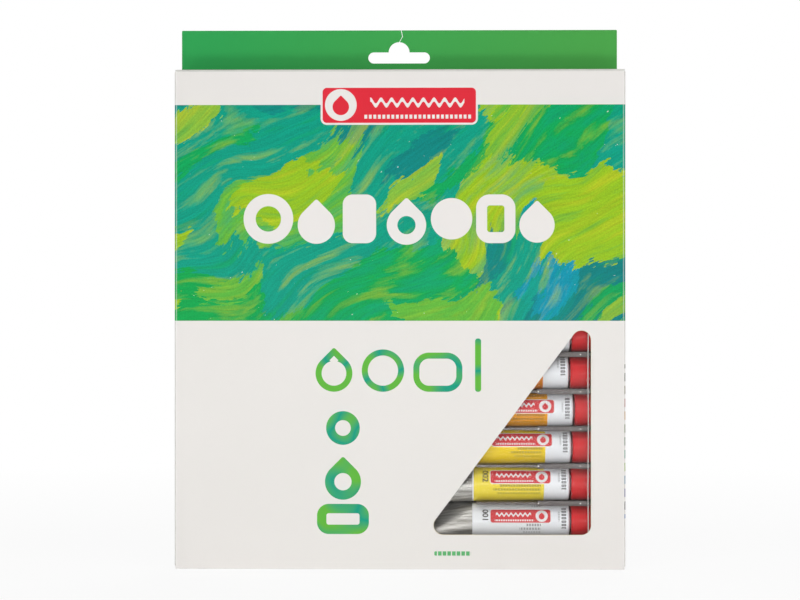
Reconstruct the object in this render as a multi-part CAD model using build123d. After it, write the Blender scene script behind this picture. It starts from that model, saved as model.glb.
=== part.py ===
from build123d import *
import os
from math import cos, pi, radians, sin, tau

# Hanging carton of 24 gouache tubes: a board sleeve with a hang tab, a window, tuck ends and a tray.
# Millimetres.  +Z is up and the printed front faces -Y.  The origin is the centre of the box at its
# lowest level.  "Depth" below always means the distance behind the outer face of the front panel.

# ---- tubes ----
rows = 12
tube_radius = 8.5
tube_pitch = 19.0
tube_length = 85.6
taper_length = 38.0
crimp_trim = 0.7
crimp_length = 4.0
crimp_thickness = 1.2
tail_thickness = 0.9
tail_sides = 20
crimp_tilt = 45.0
shoulder_rise = 0.8
neck_radius = 4.2
neck_length = 6.4

# ---- caps ----
cap_inset = 0.15
cap_length = 10.4
cap_stand_off = 1.0
cap_clearance = 0.35
cap_top = 1.2

# ---- how the tubes lie: each a little along its pocket, the lower six again higher up ----
axial_play = [0.0, 0.0, 0.7, 1.8, -0.5, 0.2]
tail_start = 1.1
tail_gap = 0.45
pocket_end_gap = 2.2

# ---- tray ----
sheet = 0.4
ridge_drop = 1.6
pocket_play = 0.25
pocket_draft = 0.15
channel_play = 0.25
tray_back_gap = 0.6
tray_side_border = 13.45
tray_side_gap = 0.8
tray_foot_gap = 1.0
tray_head_gap = 0.8
tray_corner = 3.0

# ---- carton ----
board = 0.45
fold_radius = 1.0
fold_gap = 0.3
foot_room = 24.0
head_room = 22.0
tab_height = 22.4
tab_inset_left = 1.3
tab_inset_right = 2.7
tab_corner = 0.5
header_drop = 40.0
glue_flap_width = 12.0
glue_flap_margin = 16.0

# ---- hang slot and the slit above it ----
slot_width = 32.0
slot_bar = 5.8
slot_rise = 5.2
slot_total = 11.1
slot_lobe = 10.9
slit_width = 0.3
slit_jog = 1.8

# ---- window and film ----
window_side = 17.6
window_foot = 17.7
window_width = 80.0
window_height = 104.0
window_radius = 4.8
film = 0.15
film_margin = 7.0

# ---- closures ----
lid_side_gap = 1.0
lid_end_gap = 0.35
base_recess = 0.3
flap_layer_gap = 0.3
dust_length = 18.0
dust_front_start = 1.2
dust_front_slope = 0.45
dust_back_gap = 3.8
dust_end_gap = 3.3
dust_corner = 1.5
tuck_length = 11.0
tuck_lean = 25.0
tuck_side_gap = 2.5
tuck_corner = 6.0

# ---- worked out from the sizes above: the tray fits the tubes, and the carton fits the tray ----
crimp_width = pi * tube_radius - crimp_trim
crimp_reach = (crimp_width * sin(radians(crimp_tilt)) + crimp_thickness * cos(radians(crimp_tilt))) / 2
tube_depth = board + film + sheet + tail_gap + crimp_reach
channel_floor = tube_depth + crimp_reach + tail_gap
channel_half = tail_start + taper_length
channel_side = crimp_reach + channel_play
pocket_end = tail_start + tube_length + cap_stand_off + cap_length + pocket_end_gap

width = 2 * (pocket_end + tray_side_border + tray_side_gap + board)
height = foot_room + (rows - 1) * tube_pitch + head_room
depth = channel_floor + sheet + tray_back_gap + board
tab_top = height + tab_height

front = -(depth + board) / 2
back = front + depth
front_inner = front + board
back_inner = back - board
dust_top_level = height - board - flap_layer_gap
dust_base_level = base_recess + board + flap_layer_gap
lid_reach = depth - board - lid_end_gap

window_right = width / 2 - window_side
window_left = window_right - window_width
window_top = window_foot + window_height
flange_front = front_inner + film
ridge_front = flange_front + ridge_drop
tray_foot = dust_base_level + board + tray_foot_gap
tray_head = dust_top_level - board - tray_head_gap
last_row = foot_room + (rows - 1) * tube_pitch


def block(x0, x1, y0, y1, z0, z1):
    """A box between two corners."""
    centre = Pos((x0 + x1) / 2, (y0 + y1) / 2, (z0 + z1) / 2)
    return centre * Box(x1 - x0, y1 - y0, z1 - z0)


def upright(sketch, y, thickness):
    """Raise a sketch of X and Z into a plate from y towards the back."""
    face = Plane(origin=(0, y, 0), x_dir=(1, 0, 0), z_dir=(0, -1, 0)) * sketch
    return extrude(face, -thickness)


def quarter_tube(y_side, z_side, length):
    """A quarter of a thin tube along X: the section of a folded edge, on the named sides of its axis."""
    ring = Cylinder(fold_radius, length) - Cylinder(fold_radius - board, length)
    y_far = y_side * fold_radius
    z_far = z_side * fold_radius
    quarter = block(-length, length, min(0, y_far), max(0, y_far), min(0, z_far), max(0, z_far))
    return (Rot(0, 90, 0) * ring) & quarter


# ---------------------------------------------------------------- carton
def sleeve():
    """The four walls between the folds of the dust flaps, with soft upright corners."""
    outline = RectangleRounded(width, depth, fold_radius)
    outline -= RectangleRounded(width - 2 * board, depth - 2 * board, fold_radius - board)
    low = dust_base_level + fold_radius
    high = dust_top_level - fold_radius
    return Pos(0, front + depth / 2, low) * extrude(outline, high - low)


def lid_folds():
    """Rolled edges at the top of the front panel and at the foot of the back panel."""
    length = width - 2 * board
    top = Pos(0, front + fold_radius, height - fold_radius) * quarter_tube(-1, 1, length)
    foot = Pos(0, back - fold_radius, fold_radius) * quarter_tube(1, -1, length)
    return top + foot


def dust_folds():
    """Rolled edges of the side panels, which carry the four dust flaps."""
    length = depth - 2 * fold_radius
    folds = Part()
    for side in (-1, 1):
        for level, up in ((dust_top_level - fold_radius, 1), (dust_base_level + fold_radius, -1)):
            edge = Rot(0, 0, 90) * quarter_tube(-side, up, length)
            folds += Pos(side * (width / 2 - fold_radius), front + depth / 2, level) * edge
    return folds


def window_sketch():
    """The window: a leaning triangle with round corners, wide at its foot."""
    left = window_left + window_radius
    right = window_right - window_radius
    low = window_foot + window_radius
    high = window_top - window_radius
    triangle = make_face(Polyline((left, low), (right, low), (right, high), close=True))
    return offset(triangle, window_radius, kind=Kind.ARC)


def tab_sketch(low):
    """The hang tab from the level named up to its top, with its slot and its slit cut out."""
    left = -width / 2 + tab_inset_left
    right = width / 2 - tab_inset_right
    middle = (left + right) / 2
    tab = Pos(middle, (low + tab_top) / 2) * Rectangle(right - left, tab_top - low)
    tab = fillet(tab.vertices().group_by(Axis.Y)[-1], tab_corner)
    bar_level = height + slot_rise + slot_bar / 2
    lobe_level = height + slot_rise + slot_total - slot_lobe / 2
    tab -= Pos(middle, bar_level) * SlotOverall(slot_width, slot_bar)
    tab -= Pos(middle, lobe_level) * Circle(slot_lobe / 2)
    slit_foot = height + slot_rise + slot_total - slit_width
    slit_middle = (slit_foot + tab_top) / 2
    path = Polyline((middle, slit_foot), (middle + slit_jog, slit_middle), (middle + slit_jog / 2, tab_top + 1))
    tab -= trace(path, slit_width)
    return tab


def front_ends():
    """The front panel above and below the sleeve: up to the lid's fold and down to its cut edge."""
    half = width / 2 - board
    low = block(-half, half, front, front_inner, 0, dust_base_level + fold_radius)
    high = block(-half, half, front, front_inner, dust_top_level - fold_radius, height - fold_radius)
    return low + high


def back_ends():
    """The back panel below and above the sleeve: down to the base's fold and up into the hang tab."""
    half = width / 2 - board
    low = block(-half, half, back_inner, back, fold_radius, dust_base_level + fold_radius)
    return low + upright(tab_sketch(dust_top_level - fold_radius), back_inner, board)


def glue_flap():
    """The strip of the right side panel that is glued to the inside of the back panel."""
    edge = width / 2 - board
    low = glue_flap_margin
    high = height - glue_flap_margin
    return block(edge - glue_flap_width, edge, back_inner - board, back_inner, low, high)


def carton_body():
    """Front, back and side panels, with the window, the hang tab and the folded edges."""
    body = sleeve() + front_ends() + back_ends() + lid_folds() + dust_folds() + glue_flap()
    return body - upright(window_sketch(), front - board, 3 * board)


def header_panel():
    """The second ply behind the tab, glued to the upper back panel, with the same slot and slit."""
    return upright(tab_sketch(height - header_drop), back, board)


def window_film():
    """The clear film glued behind the window."""
    left = window_left - film_margin
    right = window_right + film_margin
    low = window_foot - film_margin
    high = window_top + film_margin
    return block(left, right, front_inner, front_inner + film, low, high)


# ---------------------------------------------------------------- closures
# A closure is drawn once as the top one.  The base is the same closure turned half a turn about X, so
# its fold lies at the back.  Depth runs from the fold's outer corner, and z = 0 is the fold's outer face.
def lid_panel():
    """The closing panel, from its fold at the near edge to the tuck flap's fold at the far one."""
    half = width / 2 - lid_side_gap
    return block(-half, half, fold_radius + fold_gap, lid_reach, -board, 0)


def tuck_flap():
    """The flap that slides down inside the far wall: it leans inwards and its free corners are round."""
    half = width / 2 - tuck_side_gap
    outline = Pos(0, -tuck_length / 2) * Rectangle(2 * half, tuck_length)
    outline = fillet(outline.vertices().group_by(Axis.Y)[0], tuck_corner)
    flap = upright(outline, -board, board)
    root = Pos(0, lid_reach, -board - fold_gap)
    return root * Rot(-tuck_lean, 0, 0) * flap


def dust_sketch():
    """A dust flap seen from above, folded in from +X: both its edges taper towards its free end."""
    root = width / 2 - fold_radius - fold_gap
    tip = width / 2 - dust_length
    near_root = dust_front_start + dust_front_slope * (fold_radius + fold_gap)
    near_tip = dust_front_start + dust_front_slope * dust_length
    far_root = depth - dust_end_gap
    far_tip = depth - dust_end_gap - dust_back_gap
    points = [(root, near_root), (root, far_root), (tip, far_tip), (tip, near_tip)]
    flap = make_face(Polyline(*points, close=True))
    return fillet(flap.vertices().group_by(Axis.X)[0], dust_corner)


def dust_flap(side):
    """A dust flap under the closing panel, one board and a gap below the fold's outer face."""
    flap = extrude(dust_sketch(), board)
    if side < 0:
        flap = mirror(flap, about=Plane.YZ)
    return Pos(0, 0, -2 * board - flap_layer_gap) * flap


def at_top(piece):
    """Place a closure piece at the top, folded from the front panel."""
    return Pos(0, front, height) * piece


def at_base(piece):
    """Place a closure piece at the foot, folded from the back panel, clear of the ground."""
    return Pos(0, back, base_recess) * Rot(180, 0, 0) * piece


# ---------------------------------------------------------------- tubes and caps
# Both are drawn along +X from the tube's tail, on the tube's own axis.
def flat_ring(half_width, half_height):
    """A section of the tail: an ellipse with few sides, which keeps the tail's surface light."""
    angles = [tau * side / tail_sides for side in range(tail_sides)]
    points = [(half_width * cos(angle), half_height * sin(angle)) for angle in angles]
    return make_face(Polyline(*points, close=True))


def tail():
    """The tube's end: the round section flattened along a slanted line, closed by a folded crimp."""
    slant = Rot(0, 0, crimp_tilt)
    flat = Plane.YZ * slant * flat_ring(crimp_width / 2, tail_thickness / 2)
    round_end = Plane.YZ.offset(taper_length) * slant * flat_ring(tube_radius, tube_radius)
    taper = loft([flat, round_end], ruled=True)
    fold = Pos(crimp_length / 2, 0, 0) * Rot(crimp_tilt, 0, 0)
    return taper + fold * Box(crimp_length, crimp_width, crimp_thickness)


def tube():
    """A soft metal tube: tail, round body, sloped shoulder and neck."""
    neck_end = tube_length + neck_length
    profile = Polyline(
        (taper_length, 0),
        (taper_length, tube_radius),
        (tube_length, tube_radius),
        (tube_length + shoulder_rise, neck_radius),
        (neck_end, neck_radius),
        (neck_end, 0),
        close=True,
    )
    return tail() + revolve(make_face(profile), Axis.X)


def cap():
    """A smooth screw cap that stands off the shoulder, with a blind bore for the neck."""
    radius = tube_radius - cap_inset
    start = tube_length + cap_stand_off
    end = start + cap_length
    bore = neck_radius + cap_clearance
    profile = Polyline(
        (start, radius),
        (end, radius),
        (end, 0),
        (end - cap_top, 0),
        (end - cap_top, bore),
        (start, bore),
        close=True,
    )
    return revolve(make_face(profile), Axis.X)


def tube_place(index):
    """Where tube `index` lies: 0-11 up the right column with their caps to +X, 12-23 up the left."""
    row = index % rows
    play = axial_play[row % len(axial_play)]
    level = foot_room + row * tube_pitch
    if index < rows:
        return Pos(tail_start + play, front + tube_depth, level)
    return Pos(-tail_start - play, front + tube_depth, level) * Rot(0, 0, 180)


# ---------------------------------------------------------------- tray
def pocket(skin):
    """One trough open to the front, on its tube's axis: `skin` 0 is the hollow, `sheet` its outside."""
    radius = tube_radius + pocket_play + skin
    rise = tube_depth - (ridge_front - front)
    mouth = radius + pocket_draft
    line = Polyline((-radius, 0), (-mouth, rise), (mouth, rise), (radius, 0))
    bowl = ThreePointArc((radius, 0), (0, -radius), (-radius, 0))
    section = Plane(origin=(channel_half, 0, 0), x_dir=(0, 0, 1), z_dir=(1, 0, 0)) * make_face(line + bowl)
    return extrude(section, pocket_end + skin - channel_half)


def pockets(skin):
    """The troughs of both columns."""
    trough = pocket(skin)
    troughs = []
    for row in range(rows):
        right = Pos(0, front + tube_depth, foot_room + row * tube_pitch) * trough
        troughs += [right, mirror(right, about=Plane.YZ)]
    return troughs


def recess(skin):
    """The step behind the flange that the ridges between the tubes rise to."""
    half = pocket_end + skin
    low = foot_room - channel_side - skin
    high = last_row + channel_side + skin
    return block(-half, half, flange_front, ridge_front + skin, low, high)


def channel(skin):
    """The open channel down the middle, where the flattened tails of both columns lie."""
    half = channel_half + skin
    low = foot_room - channel_side - skin
    high = last_row + channel_side + skin
    return block(-half, half, flange_front, front + channel_floor + skin, low, high)


def tray():
    """A formed sheet: a flange behind the film, a recess, the middle channel and a trough per tube."""
    outline = RectangleRounded(2 * (pocket_end + tray_side_border), tray_head - tray_foot, tray_corner)
    plate = upright(Pos(0, (tray_foot + tray_head) / 2) * outline, flange_front, sheet)
    outside = plate + recess(sheet) + channel(sheet) + pockets(sheet)
    return outside - recess(0) - channel(0) - pockets(0)


# ---------------------------------------------------------------- the parts
def save(name, shape):
    """Write one node as a STEP file of its own."""
    shape.label = name
    export_step(shape, f"parts/{name}.step")


os.makedirs("parts", exist_ok=True)
save("carton_body", carton_body())
save("header_panel", header_panel())
save("window_film", window_film())
save("tray", tray())
save("top_lid", at_top(lid_panel()))
save("top_tuck_flap", at_top(tuck_flap()))
save("top_dust_flap_right", at_top(dust_flap(1)))
save("top_dust_flap_left", at_top(dust_flap(-1)))
save("bottom_lid", at_base(lid_panel()))
save("bottom_tuck_flap", at_base(tuck_flap()))
save("bottom_dust_flap_right", at_base(dust_flap(1)))
save("bottom_dust_flap_left", at_base(dust_flap(-1)))
one_tube = tube()
one_cap = cap()
for index in range(2 * rows):
    place = tube_place(index)
    save(f"tube_{index + 1:02d}", place * one_tube)
    save(f"cap_{index + 1:02d}", place * one_cap)
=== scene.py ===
# %% [markdown]
# # A hanging carton of gouache tubes
#
# The object is a flat board carton with a green hang tab and a leaning window. Small metal paint tubes
# with red caps lie behind the window in a smoky formed tray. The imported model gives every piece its
# place and size. This file gives each one its look: first the shader helpers, then the board and its
# print, the tubes, the caps and the tray, and at the end the light and the camera.

# %% The frame: every CAD node, its body and its box
import math
import random

import bmesh
import bpy
from mathutils import Matrix, Vector


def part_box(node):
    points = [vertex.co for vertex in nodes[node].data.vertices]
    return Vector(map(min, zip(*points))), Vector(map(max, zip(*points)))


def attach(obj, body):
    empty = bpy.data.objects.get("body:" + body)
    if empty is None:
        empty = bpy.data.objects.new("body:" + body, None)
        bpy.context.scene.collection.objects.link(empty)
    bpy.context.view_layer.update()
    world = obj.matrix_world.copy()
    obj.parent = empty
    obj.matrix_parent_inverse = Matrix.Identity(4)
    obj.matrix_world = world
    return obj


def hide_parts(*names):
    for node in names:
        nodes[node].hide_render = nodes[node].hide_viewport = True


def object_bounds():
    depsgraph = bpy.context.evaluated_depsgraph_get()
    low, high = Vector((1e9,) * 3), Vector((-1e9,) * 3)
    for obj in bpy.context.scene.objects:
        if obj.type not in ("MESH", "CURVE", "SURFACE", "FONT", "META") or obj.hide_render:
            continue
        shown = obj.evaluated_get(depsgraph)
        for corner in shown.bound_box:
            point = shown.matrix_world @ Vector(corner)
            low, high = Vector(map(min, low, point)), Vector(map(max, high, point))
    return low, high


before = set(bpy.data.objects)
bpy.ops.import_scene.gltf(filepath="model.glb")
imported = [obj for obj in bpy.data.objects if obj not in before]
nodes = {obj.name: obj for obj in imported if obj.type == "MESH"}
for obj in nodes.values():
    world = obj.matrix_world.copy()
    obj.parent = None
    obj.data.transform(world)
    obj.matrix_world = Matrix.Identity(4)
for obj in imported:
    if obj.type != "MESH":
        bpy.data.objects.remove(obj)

MM = 0.001
cad_box = [list(corner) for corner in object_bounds()]
print("nodes in the frame:", len(nodes), "box:", cad_box)

# %% [markdown]
# ## Where things are
#
# A print on a carton is laid out from the panel's own edges, so the sizes that the shaders need are
# read from the frame: the front panel's plane, the fold between panel and tab, and the film behind the
# window. A column holds twelve tubes, and there are two columns.

# %% Levels and planes, in millimetres
board_low, board_high = (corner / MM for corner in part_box("carton_body"))
film_low, film_high = (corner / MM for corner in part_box("window_film"))
back_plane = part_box("header_panel")[0].y / MM
front_plane = board_low.y
half_width = board_high.x
box_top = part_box("top_lid")[1].z / MM
board_thickness = film_low.y - front_plane
COLUMN = 12
print("front plane", round(front_plane, 2), "fold", round(box_top, 2), "board", round(board_thickness, 2))

# %% [markdown]
# ## Shader maths as plain Python
#
# A printed area is a distance: how far a point of the board lies from a drop, a bar or a ring. Such
# distances need dozens of Math nodes. One small class wraps a socket, so that an expression such as
# `(disc - 2) * 3` adds those nodes by itself, and every other node comes from one `node` method.

# %% The socket wrapper
class Wire:
    """One output of a node tree. Arithmetic on it adds Math nodes."""

    def __init__(self, shader, socket):
        self.shader = shader
        self.socket = socket

    def math(self, operation, *others, clamp=False):
        values = dict(enumerate((self,) + others))
        return self.shader.node("ShaderNodeMath", {"operation": operation, "use_clamp": clamp}, values)

    def __add__(self, other):
        return self.math("ADD", other)

    __radd__ = __add__

    def __sub__(self, other):
        return self.math("SUBTRACT", other)

    def __rsub__(self, other):
        return (self * -1.0).math("ADD", other)

    def __mul__(self, other):
        return self.math("MULTIPLY", other)

    __rmul__ = __mul__

    def __truediv__(self, other):
        return self.math("DIVIDE", other)

    def __abs__(self):
        return self.math("ABSOLUTE")

    def __or__(self, other):
        return self.math("MAXIMUM", other)

    def __and__(self, other):
        return self.math("MINIMUM", other)

    def sibling(self, output):
        """Another output of the same node."""
        return Wire(self.shader, self.socket.node.outputs[output])

    def root(self):
        return self.math("SQRT")

    def clamp(self):
        return self.math("ADD", 0.0, clamp=True)


# %% The shader that the sockets belong to
class Shader:
    """A material under construction, with its Principled BSDF."""

    def __init__(self, name, **settings):
        self.material = bpy.data.materials.new(name)
        self.material.use_nodes = True
        self.tree = self.material.node_tree
        self.bsdf = self.tree.nodes["Principled BSDF"]
        self.set(**settings)

    def node(self, kind, settings=None, values=None, output=0):
        made = self.tree.nodes.new(kind)
        for key, value in (settings or {}).items():
            if key == "stops":
                self.fill_ramp(made.color_ramp, value)
            else:
                setattr(made, key, value)
        for key, value in (values or {}).items():
            self.feed(made.inputs[key], value)
        return Wire(self, made.outputs[output])

    def feed(self, socket, value):
        if isinstance(value, Wire):
            self.tree.links.new(value.socket, socket)
        elif hasattr(socket.default_value, "__len__") and len(value) < len(socket.default_value):
            socket.default_value = tuple(value) + (1.0,)
        else:
            socket.default_value = value

    def fill_ramp(self, ramp, stops):
        while len(ramp.elements) < len(stops):
            ramp.elements.new(1.0)
        for element, (place, colour) in zip(ramp.elements, stops):
            element.position = place
            element.color = tuple(colour) + (1.0,)

    def set(self, **settings):
        for name, value in settings.items():
            self.feed(self.bsdf.inputs[name.replace("_", " ")], value)

    def mix(self, factor, first, second):
        """`second` over `first` by `factor`, as colours."""
        return self.node("ShaderNodeMix", {"data_type": "RGBA"}, {0: factor, 6: first, 7: second}, 2)

    def place(self):
        """The object's own coordinates in millimetres, as three wires."""
        spot = self.node("ShaderNodeTexCoord", output="Object")
        spread = self.node("ShaderNodeSeparateXYZ", values={0: spot})
        return [spread.sibling(axis) * (1.0 / MM) for axis in "XYZ"]

    def facing(self):
        """The surface normal, as three wires."""
        normal = self.node("ShaderNodeNewGeometry", output="Normal")
        spread = self.node("ShaderNodeSeparateXYZ", values={0: normal})
        return [spread.sibling(axis) for axis in "XYZ"]

    def point(self, x, y, z):
        return self.node("ShaderNodeCombineXYZ", values={0: x, 1: y, 2: z})

    def spot(self):
        """The object's own coordinates in millimetres, as one vector."""
        return self.point(*self.place())

    def noise(self, where, scale, detail=3.0, roughness=0.5, distortion=0.0):
        values = {"Vector": where, "Scale": scale, "Detail": detail}
        values.update({"Roughness": roughness, "Distortion": distortion})
        return self.node("ShaderNodeTexNoise", values=values)

    def bump(self, height, depth, strength=1.0):
        """A bump of `depth` millimetres for a height that runs from 0 to 1."""
        values = {"Height": height, "Distance": depth * MM, "Strength": strength}
        return self.node("ShaderNodeBump", values=values)


def screen(red, green, blue):
    """A colour as it looks on screen, from 0 to 255, turned to the linear values that shaders use."""
    return tuple((part / 255.0) ** 2.2 for part in (red, green, blue))


# %% [markdown]
# ## Printed shapes
#
# Each shape gives a distance in millimetres, negative inside. The smaller of two distances is both
# shapes together, the larger is where they overlap, and `ink` turns a distance into a mask with a crisp
# edge, a tenth of a millimetre soft, which is how ink sits on coated board.

# %% Distances to simple shapes
def disc(x, z, centre, radius):
    across = x - centre[0]
    along = z - centre[1]
    return (across * across + along * along).root() - radius


def bar(x, z, centre, size, corner):
    """A rectangle with round corners."""
    across = abs(x - centre[0]) - (size[0] / 2 - corner)
    along = abs(z - centre[1]) - (size[1] / 2 - corner)
    outer_x = across | 0.0
    outer_z = along | 0.0
    outside = (outer_x * outer_x + outer_z * outer_z).root()
    inside = (across | along) & 0.0
    return outside + inside - corner


def drop(x, z, centre, radius):
    """A paint drop: a disc with a square corner standing up on it."""
    across = x - centre[0]
    along = z - centre[1]
    lean = (along + across) * math.sqrt(0.5)
    tilt = (along - across) * math.sqrt(0.5)
    corner = bar(lean, tilt, (radius / 2, radius / 2), (radius, radius), radius * 0.12)
    return disc(x, z, centre, radius) & corner


def segment(x, z, start, end):
    """The way to a straight line between two points."""
    run = (end[0] - start[0], end[1] - start[1])
    length = run[0] * run[0] + run[1] * run[1]
    share = (((x - start[0]) * run[0] + (z - start[1]) * run[1]) / length).clamp()
    across = x - start[0] - share * run[0]
    along = z - start[1] - share * run[1]
    return (across * across + along * along).root()


def outline(distance, stroke):
    """Only the rim of a shape, `stroke` wide and inside its edge."""
    return abs(distance + stroke / 2) - stroke / 2


def dashes(along, across, start, end, level, tall, pitch, fill, wobble):
    """A row of dashes that stands for a line of small print."""
    line = bar(along, across, ((start + end) / 2, level), (end - start, tall), tall * 0.25)
    from_middle = abs((along * (1.0 / pitch) + wobble).math("FRACT") - 0.5) * pitch
    return line | (from_middle - fill * pitch / 2)


def scribble(along, across, reach, level, swing, pitch, stroke):
    """A waving line that stands for a handwritten word."""
    start, end = reach
    line = bar(along, across, ((start + end) / 2, level), (end - start, 4.0 * swing), 0.1)
    wave = (along * (math.tau / pitch)).math("SINE") * swing
    return line | (abs(across - level - wave) * 0.7 - stroke / 2)


def ink(distance, soft=0.1):
    """A mask that is 1 inside the shape, with an edge that is `soft` millimetres wide."""
    return (0.5 - distance / soft).clamp()


# %% [markdown]
# ## The printed board
#
# A carton is one sheet of coated board, printed before it is cut and folded, so its print runs round the
# corners without a break. Here the print is drawn on an unrolled line: the way across the front goes on
# round the fold and along each side panel. The band of paint daubs is an invented one: broad strokes
# that lean and cross, in teal, green and lime. Noise that is bent by slower noise gives such strokes
# with torn edges, and finer noise that is stretched along them gives the hairs of the brush.

# %% Sizes of the printed areas, in millimetres
BAND_FOOT = 126.7
BAND_HEAD = 236.9
PLATE_CENTRE = (-0.2, 236.6)
PLATE_SIZE = (78.2, 17.9)
PLATE_CORNER = 2.2
KEYLINE = 1.0
WHITE_ROW_LEVEL = 178.7
WHITE_ROW_SIZE = 26.4
THIN_ROW_FOOT = 90.5
THIN_STROKE = 3.1
BOLD_COLUMN = -28.9
CHIP_HEIGHT = 4.25
CHIP_PITCH = 6.54
CHIP_TOP = 101.3
CHIP_COUNT = 12
CHIP_FOOT = CHIP_TOP - CHIP_COUNT * CHIP_PITCH

FILM_MARGIN = 7.0
WINDOW_CORNER = 4.8
CREASE_IN = 1.0

WHITE = screen(234, 230, 227)
PLATE_RED = screen(222, 48, 62)
TAB_GREEN = screen(50, 161, 84)
TAB_LEAF = screen(76, 163, 76)
RAW_EDGE = screen(214, 198, 150)
SMALL_PRINT = screen(96, 178, 112)
# The crease white is partly a painted highlight along the side folds and partly ink thinned on the crease.
CREASE_WHITE = screen(246, 246, 244)
# The side shade is painted shade on the rolled side folds.
SIDE_SHADE = screen(120, 118, 112)
# The head shade is painted shade on the rolled top fold, greenish as a painted reflection of the tab.
HEAD_SHADE_AND_TAB_REFLECTION = screen(110, 128, 108)
INSIDE_BOARD = screen(176, 168, 156)
LIME = screen(146, 190, 36)
LEAF = screen(96, 180, 62)
GREEN = screen(0, 162, 78)
TEAL = screen(0, 154, 128)
DEEP = screen(0, 126, 124)
BLUE = screen(0, 146, 176)
YELLOW = screen(200, 198, 40)


# %% The band of daubs
PATCHES = [(0.0, TEAL), (0.24, LEAF), (0.40, GREEN), (0.50, DEEP), (0.64, LIME), (0.80, TEAL), (0.95, BLUE)]
STROKES = [(0.0, GREEN), (0.14, LIME), (0.34, TEAL), (0.58, LEAF), (0.74, DEEP), (0.90, YELLOW)]


def daub_layer(shader, along, across, size, stretch, seed, stops):
    """Patches that are longer than wide, each with one colour: the colour, and a random value per patch."""
    spot = shader.point(along * (1.0 / stretch) + seed, across + seed * 1.7, 0.0)
    settings = {"voronoi_dimensions": "2D", "feature": "F1"}
    cell = shader.node("ShaderNodeTexVoronoi", settings, {"Vector": spot, "Scale": 1.0 / size}, 1)
    parts = shader.node("ShaderNodeSeparateColor", values={0: cell})
    colour = shader.node("ShaderNodeValToRGB", {"stops": stops}, {0: parts})
    colour.socket.node.color_ramp.interpolation = "CONSTANT"
    return colour, parts.sibling(1)


def daubs(shader, u, z):
    """Broad leaning daubs of paint: the colour, and a height for the ridges that the brush leaves."""
    flat = shader.point(u, 0.0, z)
    drift = shader.noise(flat, 0.012, 1.0, 0.4) - 0.5
    sway = shader.noise(shader.point(u + 310.0, 40.0, z), 0.014, 1.0, 0.4) - 0.5
    along = u * 0.80 + z * 0.60 + drift * 70.0
    across = z * 0.80 - u * 0.60 + sway * 70.0
    hairs = shader.noise(shader.point(along * 0.05, 3.0, across), 1.5, 4.0, 0.65)
    ragged = shader.noise(shader.point(along * 0.35, 60.0, across), 0.30, 4.0, 0.6) - 0.5
    torn = ragged * 15.0 + (hairs - 0.5) * 5.0
    wide = across + torn
    long = along + ragged * 26.0
    colour = daub_layer(shader, long, wide, 44.0, 1.5, 13.0, PATCHES)[0]
    upper, upper_chance = daub_layer(shader, long, wide, 25.0, 2.2, 71.0, STROKES)
    thin, thin_chance = daub_layer(shader, long, wide, 9.0, 4.2, 37.0, STROKES)
    tone = shader.noise(shader.point(along * 0.22, 30.0, across), 0.16, 4.0, 0.6)
    colour = shader.mix(((tone - 0.44) * 5.0).clamp() * 0.45, colour, TEAL)
    colour = shader.mix(ink(0.66 - upper_chance, 0.02), colour, upper)
    colour = shader.mix(ink(0.84 - thin_chance, 0.02) * 0.85, colour, thin)
    colour = shader.mix(((0.47 - tone) * 7.0).clamp() * 0.40, colour, LIME)
    warmth = (shader.node("ShaderNodeSeparateColor", values={0: colour}) * 4.0).clamp()
    lit = shader.noise(shader.point(along * 0.10, 90.0, across), 0.22, 4.0, 0.62)
    colour = shader.mix(((lit - 0.50) * 6.0).clamp() * warmth * 0.55, colour, YELLOW)
    colour = shader.mix(((0.45 - lit) * 7.0).clamp() * 0.50, colour, GREEN)
    grain = shader.noise(flat, 1.3, 3.0, 0.7)
    shade = 0.99 + (hairs - 0.5) * 0.75 + (grain - 0.5) * 0.90
    toned = shader.node("ShaderNodeVectorMath", {"operation": "SCALE"}, {0: colour, 3: shade})
    fleck = shader.noise(shader.point(along * 0.5, 200.0, across), 0.9, 2.0, 0.5)
    glint = ink(0.735 - fleck, 0.02) * ink(0.52 - ragged - 0.5, 0.02)
    return shader.mix(glint, toned, WHITE), hairs


# %% [markdown]
# The words of a real carton are left off. White paint drops, rings and dabs stand in the place of the
# large word, open ones in the place of the thin line of text, and three bold ones down the column.

# %% The generic row of drops, rings and dabs
def white_row(x, z):
    """Seven white shapes in a row, about as tall and as wide as large lettering would be."""
    level = WHITE_ROW_LEVEL
    tall = WHITE_ROW_SIZE
    shapes = outline(disc(x, z, (-67.0, level), tall * 0.48), 6.2)
    shapes = shapes & drop(x, z, (-42.5, level - 3.2), tall * 0.36)
    shapes = shapes & bar(x, z, (-20.5, level), (17.0, tall * 0.94), 5.0)
    shapes = shapes & outline(drop(x, z, (3.5, level - 3.2), tall * 0.38), 5.4)
    shapes = shapes & disc(x, z, (26.5, level), tall * 0.40)
    shapes = shapes & outline(bar(x, z, (49.0, level), (20.0, tall * 0.94), 7.0), 5.6)
    shapes = shapes & drop(x, z, (70.0, level - 3.2), tall * 0.34)
    return shapes


def thin_row(x, z):
    """Four thin open shapes: a drop, a ring, a dab and a stroke."""
    foot = THIN_ROW_FOOT
    shapes = outline(drop(x, z, (-33.5, foot + 9.4), 9.4), THIN_STROKE)
    shapes = shapes & outline(disc(x, z, (-8.5, foot + 10.8), 10.8), THIN_STROKE)
    shapes = shapes & outline(bar(x, z, (19.5, foot + 10.0), (25.0, 20.0), 8.0), THIN_STROKE)
    shapes = shapes & bar(x, z, (40.0, foot + 13.6), (THIN_STROKE, 27.2), THIN_STROKE * 0.45)
    return shapes


def bold_column(x, z):
    """Three bold shapes one above the other."""
    middle = BOLD_COLUMN
    shapes = outline(disc(x, z, (middle, 72.0), 8.6), 4.6)
    shapes = shapes & outline(drop(x, z, (middle, 44.6), 9.2), 4.8)
    shapes = shapes & outline(bar(x, z, (middle, 25.6), (26.5, 15.4), 6.0), 4.8)
    return shapes


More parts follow.
